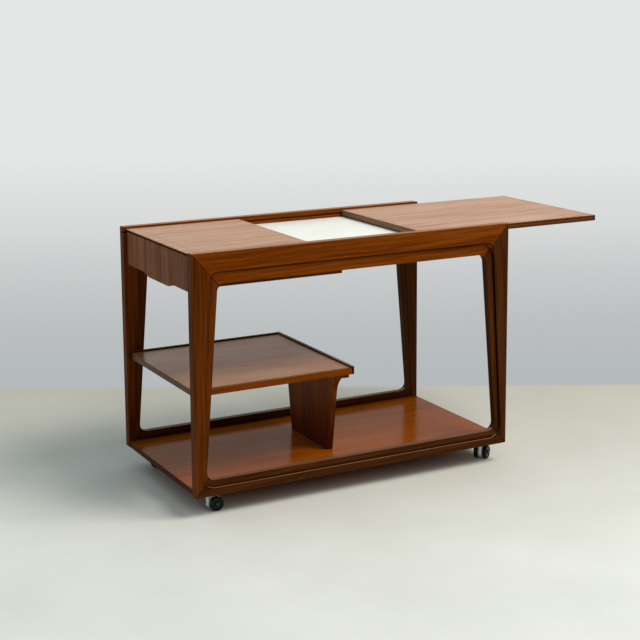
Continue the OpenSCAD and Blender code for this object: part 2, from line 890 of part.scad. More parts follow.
module caster_hood(c) {
    wheel_r = wheel_d / 2;
    hood_r = wheel_r + hood_rim;
    color(metal)
        caster_place(c, 1)
            difference() {
                union() {
                    rotate([90, 0, 0])
                        linear_extrude(hood_width, center = true)
                            difference() {
                                union() {
                                    translate([trail, wheel_r]) circle(r = hood_r);
                                    translate([0, socket_foot])
                                        square([trail, wheel_r + hood_r - socket_foot]);
                                }
                                translate([-past, -past])
                                    square([trail + wheel_d, hood_foot + past]);
                            }
                    translate([0, 0, socket_foot])
                        cylinder(r = socket_r, h = socket_top - socket_foot);
                }
                translate([0, 0, socket_top - stem_depth - stem_end_gap])
                    cylinder(r = stem_d / 2 + running_gap, h = stem_depth + stem_end_gap + past);
                translate([trail, 0, wheel_r])
                    rotate([90, 0, 0])
                        cylinder(r = axle_d / 2 + running_gap, h = hood_width + 2 * past,
                            center = true);
            }
}

module caster_axle(c) {
    reach_y = hood_width / 2 + hood_gap + wheel_width + running_gap;
    color(metal)
        caster_place(c, 1)
            translate([trail, 0, wheel_d / 2])
                rotate([90, 0, 0]) {
                    cylinder(d = axle_d, h = 2 * reach_y, center = true);
                    for (s = [-1, 1]) {
                        translate([0, 0, s * (reach_y + axle_head / 2)])
                            cylinder(d = axle_head_d, h = axle_head, center = true);
                    }
                }
}

// A wheel, drawn with its outer face towards the front; side 1 puts it behind the hood
module caster_wheel(c, side) {
    r = wheel_d / 2;
    bore = axle_d / 2 + running_gap;
    rim = r - wheel_edge_radius - wheel_rim;
    color(black)
        caster_place(c, 1)
            translate([trail, 0, r])
                mirror([0, side, 0])
                    translate([0, -hood_width / 2 - hood_gap, 0])
                        rotate([90, 0, 0])
                            rotate_extrude($fn = 64)
                                difference() {
                                    translate([bore, 0]) square([r - bore, wheel_width]);
                                    translate([hub_r, wheel_width - wheel_dish])
                                        square([rim - hub_r, wheel_dish + past]);
                                    translate([r, 0])
                                        rounding_cut(wheel_edge_radius);
                                    translate([r, wheel_width])
                                        mirror([0, 1]) rounding_cut(wheel_edge_radius);
                                }
}

module caster_screws() {
    color(metal)
        for (c = corners) {
            caster_place(c, 0)
                plate_screw_set(0);
        }
}

module back() {
    mirror([0, 1, 0]) children();
}

frame_piece(0);  // front_top_rail
frame_piece(1);  // front_right_leg
frame_piece(2);  // front_bottom_rail
frame_piece(3);  // front_left_leg
mitre_splines();  // front_mitre_splines
back() frame_piece(0);  // back_top_rail
back() frame_piece(1);  // back_right_leg
back() frame_piece(2);  // back_bottom_rail
back() frame_piece(3);  // back_left_leg
back() mitre_splines();  // back_mitre_splines
right_end_rail();
well_board();
well_laminate();
bottom_panel();
side_dowels();
shelf_panel();
shelf_front_lipping();
shelf_end_rim();
shelf_back_rim();
shelf_pier();
pier_dowels();
left_leaf_panel();
left_leaf_front_edge();
left_leaf_back_edge();
left_leaf_inner_end();
left_leaf_outer_end();
right_leaf_panel();
right_leaf_front_edge();
right_leaf_back_edge();
right_leaf_inner_end();
right_leaf_outer_end();
drawer_front();
drawer_back();
drawer_bottom();
drawer_near_side();
drawer_far_side();
front_runner();
back_runner();
runner_screws();
caster_screws();
for (c = corners) {
    caster_plate(c);
    caster_hood(c);
    caster_axle(c);
    caster_wheel(c, 0);
    caster_wheel(c, 1);
}
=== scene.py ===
# %% [markdown]
# # A teak bar cart
# The cart stands on four small casters. Two upright frames of mitred teak carry two table
# leaves that slide in grooves, a drawer at one end, a middle shelf and a bottom panel. The
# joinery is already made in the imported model, so this lesson loads it and gives every piece
# the finish that the real one has: oiled teak, a white laminate, black wheels, dull metal.

# %% Load the cart
from math import cos, pi, radians, sin
import bpy
from mathutils import Matrix, Vector


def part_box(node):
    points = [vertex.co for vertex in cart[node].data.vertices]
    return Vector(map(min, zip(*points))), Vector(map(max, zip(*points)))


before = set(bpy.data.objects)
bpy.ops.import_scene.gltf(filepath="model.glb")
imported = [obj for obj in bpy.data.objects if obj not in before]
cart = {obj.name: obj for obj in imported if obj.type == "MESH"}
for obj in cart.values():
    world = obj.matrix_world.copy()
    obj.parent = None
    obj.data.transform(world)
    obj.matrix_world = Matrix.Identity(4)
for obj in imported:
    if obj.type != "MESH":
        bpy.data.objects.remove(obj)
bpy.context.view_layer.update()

# %% [markdown]
# ## The camera
# The picture is taken from the left of the cart's front, a little above its top. Its place
# was found by matching the corners of the two frames, so the camera is put there directly.
# A camera looks along its own -Z, so its three axes are built from the way that it looks,
# and a small roll turns the level line as in the picture.

# %% Place the camera
CAMERA_PLACE = Vector((-1.7265, -3.2853, 1.2559))
AZIMUTH, DOWNWARD, ROLL = radians(-27.953), radians(9.508), radians(-0.393)
SENSOR_WIDTH = 36.0
LENS = 80.87
SHIFT_Y = -0.1406
FARTHEST_SEEN = 60

look = Vector((-sin(AZIMUTH) * cos(DOWNWARD), cos(AZIMUTH) * cos(DOWNWARD), -sin(DOWNWARD)))
level = look.cross(Vector((0, 0, 1))).normalized()
upward = level.cross(look)
right = level * cos(ROLL) + upward * sin(ROLL)
up = upward * cos(ROLL) - level * sin(ROLL)

camera_data = bpy.data.cameras.new("camera")
camera_data.sensor_width = SENSOR_WIDTH
camera_data.lens = LENS
camera_data.shift_y = SHIFT_Y
camera_data.clip_end = FARTHEST_SEEN
camera = bpy.data.objects.new("camera", camera_data)
axes = Matrix((right, up, -look)).transposed().to_4x4()
camera.matrix_world = Matrix.Translation(CAMERA_PLACE) @ axes
bpy.context.scene.collection.objects.link(camera)
bpy.context.scene.camera = camera
bpy.context.scene.view_settings.view_transform = "Standard"
print("camera at", tuple(CAMERA_PLACE), "lens", LENS, "mm")

# %% [markdown]
# ## Node helpers
# A procedural material is a small graph of nodes. Two helpers keep the cells short: one adds
# a node and sets its sockets by name, the other joins two sockets. Colours are written as
# they are seen on a screen, from 0 to 255, and turned into the linear values that Blender
# computes with.

# %% Node helpers
def seen(red, green, blue):
    """A screen colour, 0 to 255, as linear red, green, blue and alpha."""
    def linear(value):
        v = value / 255
        return v / 12.92 if v <= 0.04045 else ((v + 0.055) / 1.055) ** 2.4
    return (linear(red), linear(green), linear(blue), 1.0)


def add(tree, kind, sockets=None, **settings):
    """A new node of the kind, with its settings and its unlinked sockets."""
    made = tree.nodes.new(kind)
    for name, value in settings.items():
        setattr(made, name, value)
    for name, value in (sockets or {}).items():
        made.inputs[name].default_value = value
    return made


def join(tree, source, target):
    """Joins (node, output name) to (node, input name)."""
    tree.links.new(source[0].outputs[source[1]], target[0].inputs[target[1]])


def new_material(name):
    """An empty material with its output node."""
    material = bpy.data.materials.new(name)
    material.use_nodes = True
    material.node_tree.nodes.clear()
    return material, material.node_tree, add(material.node_tree, "ShaderNodeOutputMaterial")


print("node helpers ready")

# %% [markdown]
# ## Numbers and colours in a graph
# Most of a material is arithmetic on grey values: stretch a range, multiply, take the larger
# of two. A colour ramp turns such a value into a colour, and a Mix node lays one colour over
# another. The colour sockets of a Mix node share their names with its other kinds of socket,
# so they are reached by number.

# %% Value and colour helpers
MIX_FIRST, MIX_SECOND, MIX_RESULT = 6, 7, 2


def map_range(tree, source, low, high, to_low=0.0, to_high=1.0):
    """Stretches low..high of the source to to_low..to_high and stops at both ends."""
    made = add(tree, "ShaderNodeMapRange", {"From Min": low, "From Max": high,
                                            "To Min": to_low, "To Max": to_high})
    join(tree, source, (made, "Value"))
    return made


def calculate(tree, operation, first, second):
    """A Math node; each side is (node, output name), a number, or None if it is unused."""
    made = add(tree, "ShaderNodeMath", operation=operation)
    for index, side in enumerate((first, second)):
        if isinstance(side, (int, float)):
            made.inputs[index].default_value = side
        elif side is not None:
            join(tree, side, (made, index))
    return made


def ramp(tree, stops, source):
    """A colour ramp of (place, colour) stops that reads the given output."""
    made = add(tree, "ShaderNodeValToRGB")
    steps = made.color_ramp.elements
    while len(steps) < len(stops):
        steps.new(1.0)
    for step, (place, colour) in zip(steps, stops):
        step.position = place
        step.color = colour
    join(tree, source, (made, "Fac"))
    return made


def darkened(tree, colour, share, shade):
    """The colour socket multiplied by a shade where the share says so."""
    made = add(tree, "ShaderNodeMix", data_type="RGBA", blend_type="MULTIPLY")
    join(tree, share, (made, "Factor"))
    tree.links.new(colour, made.inputs[MIX_FIRST])
    made.inputs[MIX_SECOND].default_value = shade
    return made.outputs[MIX_RESULT]


print("value and colour helpers ready")

# %% [markdown]
# ## Noise and surface
# Two kinds of noise are used: an even one for clouds, dust and scuffs, and one drawn out
# along X for marks that follow the grain. At the end of every graph stands the Principled
# shader, which turns colour, roughness and a bump into a surface.

# %% Noise and surface helpers
def even_noise(tree, where, scale, detail):
    """Noise with the same size of marks in all directions."""
    noise = add(tree, "ShaderNodeTexNoise", {"Scale": scale, "Detail": detail})
    join(tree, (where, "Object"), (noise, "Vector"))
    return noise


def stretched_noise(tree, source, along, across, detail=3.0, roughness=0.5, offset=0.0):
    """Noise drawn out along X: so many marks to the metre along and across the grain."""
    spread = add(tree, "ShaderNodeMapping", {"Scale": (along, across, across),
                                             "Location": (offset, offset, offset)})
    join(tree, source, (spread, "Vector"))
    noise = add(tree, "ShaderNodeTexNoise", {"Scale": 1.0, "Detail": detail,
                                             "Roughness": roughness})
    join(tree, (spread, "Vector"), (noise, "Vector"))
    return noise


def surface(tree, out, colour, rough, sockets=None, normal=None):
    """A Principled shader; colour is a socket, rough and normal are (node, output name)."""
    shader = add(tree, "ShaderNodeBsdfPrincipled", sockets)
    tree.links.new(colour, shader.inputs["Base Color"])
    join(tree, rough, (shader, "Roughness"))
    if normal:
        join(tree, normal, (shader, "Normal"))
    join(tree, (shader, "BSDF"), (out, "Surface"))


print("noise and surface helpers ready")

# %% [markdown]
# ## Teak, as a pattern in space
# A board is a slice of a trunk. The trunk's growth rings are nested shells round its middle,
# and a cut that runs nearly along them shows long arches and streaks. The pattern is made
# the same way: distance from a slightly tilted middle line gives the rings, and a low noise
# bends them. The rings and all other marks go into one group, so that every piece of wood
# shares it and only its place in the trunk differs.

# %% The grain group and its rings
RINGS_PER_METRE = 75
RING_UNEVENNESS = 1.6
MIDDLE_OF_TRUNK = (0.0, 0.055, 0.09)
TRUNK_TILT = (0.0, radians(2.2), radians(-1.6))
BEND = 0.035


def grey(value):
    """A grey for a ramp, from 0 for black to 1 for white."""
    return (value, value, value, 1)


grain = bpy.data.node_groups.new("teak_grain", "ShaderNodeTree")
grain.interface.new_socket("Vector", in_out="INPUT", socket_type="NodeSocketVector")
for output in ("Streaks", "Rings", "Fibres", "Pores"):
    grain.interface.new_socket(output, in_out="OUTPUT", socket_type="NodeSocketFloat")
grain_in = add(grain, "NodeGroupInput")
grain_out = add(grain, "NodeGroupOutput")

bend = stretched_noise(grain, (grain_in, "Vector"), along=2.2, across=7, detail=2.0)
bent = add(grain, "ShaderNodeVectorMath", {"Scale": BEND}, operation="SCALE")
join(grain, (bend, "Color"), (bent, 0))
moved = add(grain, "ShaderNodeVectorMath", operation="ADD")
join(grain, (grain_in, "Vector"), (moved, 0))
join(grain, (bent, "Vector"), (moved, 1))
tilted = add(grain, "ShaderNodeMapping", {"Location": MIDDLE_OF_TRUNK, "Rotation": TRUNK_TILT})
join(grain, (moved, "Vector"), (tilted, "Vector"))
apart = add(grain, "ShaderNodeSeparateXYZ")
join(grain, (tilted, "Vector"), (apart, "Vector"))
square_y = calculate(grain, "MULTIPLY", (apart, "Y"), (apart, "Y"))
square_z = calculate(grain, "MULTIPLY", (apart, "Z"), (apart, "Z"))
squares = calculate(grain, "ADD", (square_y, "Value"), (square_z, "Value"))
from_middle = calculate(grain, "SQRT", (squares, "Value"), None)
even_turns = calculate(grain, "MULTIPLY", (from_middle, "Value"), RINGS_PER_METRE)
years = stretched_noise(grain, (moved, "Vector"), along=1.5, across=45, offset=5.3)
good_years = calculate(grain, "MULTIPLY", (years, "Fac"), RING_UNEVENNESS)
turns = calculate(grain, "ADD", (even_turns, "Value"), (good_years, "Value"))
part_of_ring = calculate(grain, "FRACT", (turns, "Value"), None)
late_wood = ramp(grain, [(0.0, grey(1)), (0.12, grey(0.3)), (0.55, grey(0)), (0.85, grey(0.7)),
                         (1.0, grey(1))], (part_of_ring, "Value"))
join(grain, (late_wood, "Color"), (grain_out, "Rings"))
print("rings:", RINGS_PER_METRE, "to the metre")

# %% [markdown]
# ## Streaks, fibres and pores
# Broad and narrow streaks follow the bent rings. Over them lie fine fibres, drawn far out
# along the grain, and the short dark pores that teak is known for.

# %% Streaks, fibres and pores
BROAD_SHARE, NARROW_SHARE = 0.45, 0.55

broad = stretched_noise(grain, (moved, "Vector"), along=1.3, across=30)
narrow = stretched_noise(grain, (moved, "Vector"), along=4.5, across=170, detail=4.0,
                         roughness=0.6, offset=2.3)
broad_part = calculate(grain, "MULTIPLY", (broad, "Fac"), BROAD_SHARE)
narrow_part = calculate(grain, "MULTIPLY", (narrow, "Fac"), NARROW_SHARE)
streaks = calculate(grain, "ADD", (broad_part, "Value"), (narrow_part, "Value"))
streak_marks = map_range(grain, (streaks, "Value"), 0.32, 0.68)
fibres = stretched_noise(grain, (grain_in, "Vector"), along=9, across=420, roughness=0.6)
pores = stretched_noise(grain, (grain_in, "Vector"), along=70, across=1500, detail=1.0,
                        offset=3.1)
pore_marks = map_range(grain, (pores, "Fac"), 0.6, 0.7)
join(grain, (streak_marks, "Result"), (grain_out, "Streaks"))
join(grain, (fibres, "Fac"), (grain_out, "Fibres"))
join(grain, (pore_marks, "Result"), (grain_out, "Pores"))
print("grain group of", len(grain.nodes), "nodes")

# %% [markdown]
# ## The colour of one board
# A Mapping node turns the pattern so that the grain runs along the piece, and moves it, so
# that pieces with another place number show another figure. Streaks, rings and fibres are
# added up and looked up in a ramp of three browns, and the pores darken the result.

# %% The colour of one board
GRAIN_TURN = {"X": (0, 0, 0), "Y": (0, 0, -pi / 2), "Z": (0, pi / 2, 0)}
GRAIN_WEIGHTS = (0.62, 0.2, 0.18)
NEXT_ALONG, NEXT_ACROSS, NEXT_UP = 0.37, 0.113, 0.071
TRUNK_WIDTH, TRUNK_HEIGHT = 0.5, 0.3
PORE_SHARE = 0.5
PORE_SHADE = (0.4, 0.3, 0.25, 1)


def teak_colour(tree, where, way, tones, place, lean, weights):
    """Colour and relief of teak with its grain along X, Y or Z of the cart."""
    turn_x, turn_y, turn_z = GRAIN_TURN[way]
    turned = add(tree, "ShaderNodeMapping", {
        "Rotation": (turn_x, turn_y + lean, turn_z),
        "Location": (NEXT_ALONG * place, NEXT_ACROSS * place % TRUNK_WIDTH,
                     NEXT_UP * place % TRUNK_HEIGHT)})
    join(tree, (where, "Object"), (turned, "Vector"))
    pattern = add(tree, "ShaderNodeGroup")
    pattern.node_tree = grain
    join(tree, (turned, "Vector"), (pattern, "Vector"))
    streaky, ringed, fibrous = [calculate(tree, "MULTIPLY", (pattern, output), weight)
                                for output, weight in zip(("Streaks", "Rings", "Fibres"),
                                                          weights)]
    two = calculate(tree, "ADD", (streaky, "Value"), (ringed, "Value"))
    tone = calculate(tree, "ADD", (two, "Value"), (fibrous, "Value"))
    dark, middle, light = tones
    wood = ramp(tree, [(0.12, light), (0.45, middle), (0.85, dark)], (tone, "Value"))
    share = calculate(tree, "MULTIPLY", (pattern, "Pores"), PORE_SHARE)
    pored = darkened(tree, wood.outputs["Color"], (share, "Value"), PORE_SHADE)
    relief = calculate(tree, "SUBTRACT", (pattern, "Fibres"), (pattern, "Pores"))
    return pored, relief


print("board colour ready")

# %% [markdown]
# ## Where on the piece
# Age doesn't treat all faces alike. Two helpers tell a material where it is: one by the way
# that a face points, the other by the height above the floor.

# %% Where on the piece
UP_FROM, UP_TO = 0.7, 0.95
SIDEWAYS_FROM, SIDEWAYS_TO = 0.6, 0.8


def facing_share(tree, axis):
    """1 on faces that look up (Z) or along X or Y either way, 0 on all others."""
    geometry = add(tree, "ShaderNodeNewGeometry")
    facing = add(tree, "ShaderNodeSeparateXYZ")
    join(tree, (geometry, "Normal"), (facing, "Vector"))
    if axis == "Z":
        return map_range(tree, (facing, "Z"), UP_FROM, UP_TO)
    either_way = calculate(tree, "ABSOLUTE", (facing, axis), None)
    return map_range(tree, (either_way, "Value"), SIDEWAYS_FROM, SIDEWAYS_TO)


def height_share(tree, where, low, high, at_low=0.0, at_high=1.0):
    """Goes from at_low to at_high between two heights."""
    height = add(tree, "ShaderNodeSeparateXYZ")
    join(tree, (where, "Object"), (height, "Vector"))
    return map_range(tree, (height, "Z"), low, high, at_low, at_high)


print("place helpers ready")

# %% [markdown]
# ## Glue lines
# Where two members meet in a mitre, a fine dark line of glue shows. It is the distance from a
# straight line in the frame's plane, so one Dot Product node finds it.

# %% Glue lines
LINE_DEPTH = 0.8
LINE_CORE, LINE_REACH = 0.0005, 0.0014
LINE_SHADE = (0.1, 0.06, 0.04, 1)


def glue_line(tree, where, colour, corner, inner):
    """Darkens a fine line from a frame's corner to the opening's, both given as (x, z)."""
    along = Vector((inner[0] - corner[0], 0, inner[1] - corner[1])).normalized()
    square = Vector((-along.z, 0, along.x))
    offset = square.dot(Vector((corner[0], 0, corner[1])))
    reach = add(tree, "ShaderNodeVectorMath", {1: tuple(square)}, operation="DOT_PRODUCT")
    join(tree, (where, "Object"), (reach, 0))
    from_line = calculate(tree, "SUBTRACT", (reach, "Value"), offset)
    distance = calculate(tree, "ABSOLUTE", (from_line, "Value"), None)
    faint = map_range(tree, (distance, "Value"), LINE_CORE, LINE_REACH, LINE_DEPTH, 0.0)
    return darkened(tree, colour, (faint, "Result"), LINE_SHADE)


print("glue line ready")

# %% [markdown]
# ## The line below the step
# Every frame member has a raised outer band and a sunk inner one. Painted shade darkens the
# corner between them, on the sunk side only. The corner runs round the opening as a rounded
# rectangle with leaning sides: the largest of three distances, taken with a soft maximum.

# %% The line below the step
STEP_TOP, STEP_FOOT = 0.602, 0.072
STEP_LEAN, STEP_X = 0.0604, 0.4385
STEP_ROUNDING = 0.03
STEP_DEPTH = 0.85
STEP_CORE = 0.3
STEP_END = 0.0003
STEP_SHADE = (0.16, 0.1, 0.07, 1)


def step_shade_line(tree, where, colour, width):
    """Paints shade into the inner corner below the frame's step."""
    place = add(tree, "ShaderNodeSeparateXYZ")
    join(tree, (where, "Object"), (place, "Vector"))
    from_middle = calculate(tree, "ABSOLUTE", (place, "X"), None)
    drawn_in = calculate(tree, "MULTIPLY", (place, "Z"), STEP_LEAN)
    upright = calculate(tree, "ADD", (from_middle, "Value"), (drawn_in, "Value"))
    past_side = calculate(tree, "SUBTRACT", (upright, "Value"), STEP_X)
    past_top = calculate(tree, "SUBTRACT", (place, "Z"), STEP_TOP)
    past_foot = calculate(tree, "SUBTRACT", STEP_FOOT, (place, "Z"))
    past = past_side
    for other in (past_top, past_foot):
        past = calculate(tree, "SMOOTH_MAX", (past, "Value"), (other, "Value"))
        past.inputs[2].default_value = STEP_ROUNDING
    below = map_range(tree, (past, "Value"), -width, -STEP_CORE * width, 0.0, STEP_DEPTH)
    on_sunk = map_range(tree, (past, "Value"), 0.0, STEP_END, 1.0, 0.0)
    painted_step_shade = calculate(tree, "MULTIPLY", (below, "Result"), (on_sunk, "Result"))
    return darkened(tree, colour, (painted_step_shade, "Value"), STEP_SHADE)


print("step line ready")

# %% [markdown]
# ## Teak that looks up
# Faces that look up are paler, partly faded and worn, partly painted sheen. So a finish may
# bring a second set of browns for them. It can be kept to the very top of a piece, where a
# sheet of veneer lies, and painted shade can darken it above a height, so that only a low
# ledge of the same piece stays pale as a painted highlight.

# %% Teak that looks up
TOP_PLACE = 3
VENEER_FROM, VENEER_TO = 0.0012, 0.0006
DIM_FADE = 0.002
DIM_SHADE = (0.2, 0.15, 0.13, 1)


def worn_and_sheen_above(tree, where, colour, top, weights, above_z, painted_shade_above):
    """Lays the tones of top over the faces that look up."""
    above, _ = teak_colour(tree, where, "X", top, TOP_PLACE, 0.0, weights)
    share = (facing_share(tree, "Z"), "Result")
    if above_z is not None:
        at_top = height_share(tree, where, above_z - VENEER_FROM, above_z - VENEER_TO)
        share = (calculate(tree, "MULTIPLY", share, (at_top, "Result")), "Value")
    # upward faces get paler tones: partly wear, partly painted sheen and highlight
    both = add(tree, "ShaderNodeMix", data_type="RGBA")
    join(tree, share, (both, "Factor"))
    tree.links.new(colour, both.inputs[MIX_FIRST])
    tree.links.new(above, both.inputs[MIX_SECOND])
    colour = both.outputs[MIX_RESULT]
    # painted shade on the upward faces above a height
    if painted_shade_above is not None:
        upper = height_share(tree, where, painted_shade_above, painted_shade_above + DIM_FADE)
        dim = calculate(tree, "MULTIPLY", share, (upper, "Result"))
        colour = darkened(tree, colour, (dim, "Value"), DIM_SHADE)
    return colour


print("worn tops ready")

# %% [markdown]
# ## A finish of oiled teak
# Now the parts come together. End grain is darker than the faces, because it drinks more
# oil. A standing board has darker edges, and painted shade, tinted red, deepens it towards its
# foot. Fibres and pores steer a shallow bump, and a slow noise lets the roughness drift. The
# oil gives only a low gloss, tinted like the wood.

# %% The teak finish
END_SHADE = (0.22, 0.19, 0.17, 1)
EDGE_SHADE = (0.6, 0.5, 0.4, 1)
FOOT_FROM, FOOT_TO, FOOT_DEPTH = 0.08, 0.26, 0.9
# painted shade towards the foot of a standing board, darker and redder
FOOT_SHADE = (0.42, 0.16, 0.08, 1)
OILED = (1.0, 0.62, 0.3, 1)
RELIEF_HEIGHT = 0.0002


def teak(name, way, tones, place=0, top=None, above_z=None, rough=(0.4, 0.55), lean=0.0,
         gloss=0.06, bump=0.3, weights=GRAIN_WEIGHTS, mitres=(), painted_step_shade=0.0, board=False,
         painted_shade_above=None):
    """A teak finish; top gives other tones, with the grain along X, to faces that look up."""
    material, tree, out = new_material(name)
    where = add(tree, "ShaderNodeTexCoord")
    colour, relief = teak_colour(tree, where, way, tones, place, lean, weights)
    if top:
        colour = worn_and_sheen_above(tree, where, colour, top, weights, above_z, painted_shade_above)
    if way != "Z":
        ends = facing_share(tree, way)
        colour = darkened(tree, colour, (ends, "Result"), END_SHADE)
    for corner, inner in mitres:
        colour = glue_line(tree, where, colour, corner, inner)
    # painted shade in the corner below the frame's step
    if painted_step_shade:
        colour = step_shade_line(tree, where, colour, painted_step_shade)
    if board:
        edges = facing_share(tree, "Y")
        colour = darkened(tree, colour, (edges, "Result"), EDGE_SHADE)
        # painted shade: darker and redder towards the foot
        foot = height_share(tree, where, FOOT_FROM, FOOT_TO, FOOT_DEPTH, 0.0)
        colour = darkened(tree, colour, (foot, "Result"), FOOT_SHADE)
    patches = stretched_noise(tree, (where, "Object"), along=5, across=9, offset=1.7)
    drift = map_range(tree, (patches, "Fac"), 0.3, 0.7, rough[0], rough[1])
    raised = add(tree, "ShaderNodeBump", {"Strength": bump, "Distance": RELIEF_HEIGHT})
    join(tree, (relief, "Value"), (raised, "Height"))
    surface(tree, out, colour, (drift, "Result"), normal=(raised, "Normal"),
            sockets={"Specular IOR Level": gloss, "Specular Tint": OILED})
    return material


def finish_piece(name, material):
    """Gives a piece of the cart its finish."""
    piece = cart[name]
    piece.data.materials.clear()
    piece.data.materials.append(material)
    finished.add(name)


finished = set()
print("teak finish ready")

# %% [markdown]
# ## The frames
# Each frame is four members with mitred corners. The grain runs along every member, so it
# changes direction at the mitre, which is how one sees that the frame is joined and not cut
# from a sheet. The legs lean a little, and their grain leans with them. The top rails are a
# little lighter than the left legs; the bottom rails and the right legs are darker. Upward
# faces are paler, partly worn and partly painted sheen; the low ledge of the bottom rail is a
# painted highlight, and painted shade dims the rail's upper faces.

# %% Frame members
RAIL_TONES = (seen(70, 26, 1), seen(109, 49, 3), seen(132, 66, 9))
LEG_TONES = (seen(58, 22, 2), seen(92, 42, 5), seen(116, 58, 12))
# paler tops: partly wear, partly painted sheen
WORN_AND_SHEEN_TONES = (seen(124, 78, 50), seen(152, 106, 76), seen(170, 126, 94))
# painted highlight on the low ledge of the bottom rail
LEDGE_HIGHLIGHT_TONES = (seen(186, 140, 110), seen(216, 172, 140), seen(230, 190, 160))
DARK_TONES = (seen(42, 17, 3), seen(68, 33, 8), seen(88, 46, 15))
LEDGE_Z = 0.08
# widths of the painted shade below the frame's step
LEG_SHADE_WIDTH, RAIL_SHADE_WIDTH = 0.003, 0.0065
LEG_LEAN = 0.03
MITRE_ENDS = {"top": ((0.45, 0.649), (0.381, 0.571)), "foot": ((0.45, 0.053), (0.4195, 0.091))}
MITRES = {(side, end): ((side * x, z), (side * in_x, in_z)) for side in (-1, 1)
          for end, ((x, z), (in_x, in_z)) in MITRE_ENDS.items()}
MEMBERS = {"top_rail": ("X", 0.0, RAIL_TONES, ((-1, "top"), (1, "top"))),
           "bottom_rail": ("X", 0.0, DARK_TONES, ((-1, "foot"), (1, "foot"))),
           "left_leg": ("Z", -LEG_LEAN, LEG_TONES, ((-1, "top"), (-1, "foot"))),
           "right_leg": ("Z", LEG_LEAN, DARK_TONES, ((1, "top"), (1, "foot")))}
for side_number, side in enumerate(("front", "back")):
    for number, (member, (way, lean, tones, ends)) in enumerate(MEMBERS.items()):
        name = side + "_" + member
        low = member == "bottom_rail"
        finish_piece(name, teak("teak_" + name, way, tones, lean=lean,
                                place=1 + number + (len(MEMBERS) + 1) * side_number,
                                top=LEDGE_HIGHLIGHT_TONES if low else WORN_AND_SHEEN_TONES,
                                painted_shade_above=LEDGE_Z if low else None,
                                painted_step_shade=LEG_SHADE_WIDTH if way == "Z" else RAIL_SHADE_WIDTH,
                                mitres=[MITRES[end] for end in ends]))
finish_piece("right_end_rail", teak("teak_end_rail", "Y", LEG_TONES, place=11))
print("frame members:", 2 * len(MEMBERS), "and the end rail")

# %% [markdown]
# ## The table leaves
# A leaf is a veneered board with solid edges. One sheet of veneer runs over all five pieces,
# so its figure runs on across their joints. Its pinkish light brown is part fading, part
# painted sheen; the sides of the edges stay deep brown. So the veneer goes only to faces that
# look up and lie at the very top of the leaf, and the tongue below keeps the wood of its piece.

# %% Leaves
# pinkish tops: part fading, part painted sheen
VENEER_AND_SHEEN_TONES = (seen(152, 108, 82), seen(182, 140, 113), seen(198, 158, 132))
EDGE_TONES = (seen(48, 20, 2), seen(80, 39, 8), seen(98, 51, 16))
END_TONES = (seen(76, 50, 30), seen(128, 92, 66), seen(150, 112, 82))
LEAF_PARTS = (("panel", "X", EDGE_TONES), ("front_edge", "X", EDGE_TONES),
              ("back_edge", "X", EDGE_TONES), ("inner_end", "Y", END_TONES),
              ("outer_end", "Y", END_TONES))
for number, leaf in enumerate(("left_leaf_", "right_leaf_")):
    for part, way, tones in LEAF_PARTS:
        finish_piece(leaf + part, teak("teak_" + leaf + part, way, tones, place=20 + number,
                                       top=VENEER_AND_SHEEN_TONES, above_z=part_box(leaf + "panel")[1][2],
                                       rough=(0.42, 0.55), gloss=0.2))
print("two leaves of", len(LEAF_PARTS), "pieces")

# %% [markdown]
# ## Panels, shelf and pier
# The bottom panel is lacquered and so smooth that it mirrors the pier and the legs, the shelf
# a little less. The pier is a board with upright grain, and painted shade makes it darker and
# redder towards its foot. The shelf has a lipping along its front and raised rims at its back
# and end, painted dark as shade, with a pale painted sheen on their tops.

# %% Panels, shelf and pier
PANEL_TONES = (seen(116, 53, 3), seen(140, 69, 5), seen(156, 83, 10))
SHELF_TONES = (seen(124, 74, 40), seen(144, 92, 52), seen(158, 106, 62))
PIER_TONES = (seen(82, 34, 2), seen(130, 68, 8), seen(158, 90, 18))
# painted shade: the rims' dark sides
RIM_SHADE_TONES = (seen(28, 12, 4), seen(46, 22, 8), seen(62, 32, 12))
# painted sheen on the rims' tops
RIM_TOP_SHEEN_TONES = (seen(84, 62, 48), seen(112, 90, 72), seen(130, 106, 88))
finish_piece("bottom_panel", teak("teak_bottom_panel", "X", PANEL_TONES, place=31,
                                  rough=(0.14, 0.22), gloss=0.03, bump=0.05))
finish_piece("shelf_panel", teak("teak_shelf_panel", "X", SHELF_TONES, place=34,
                                 rough=(0.28, 0.38), gloss=0.2, bump=0.15))
finish_piece("shelf_front_lipping", teak("teak_shelf_lipping", "X", RAIL_TONES, place=37))
for part, way in (("shelf_back_rim", "X"), ("shelf_end_rim", "Y")):
    finish_piece(part, teak("teak_" + part, way, RIM_SHADE_TONES, place=38, top=RIM_TOP_SHEEN_TONES))
finish_piece("shelf_pier", teak("teak_pier", "Z", PIER_TONES, place=40, board=True))
print("panels, shelf and pier finished")

# %% [markdown]
# ## The drawer
# The drawer front is veneered with upright grain that shows as stripes. The sides and back of
# its box are plain teak. Its bottom, the runners, the dowels, the loose tongues and the board
# below the laminate are pale beech, a closer wood.

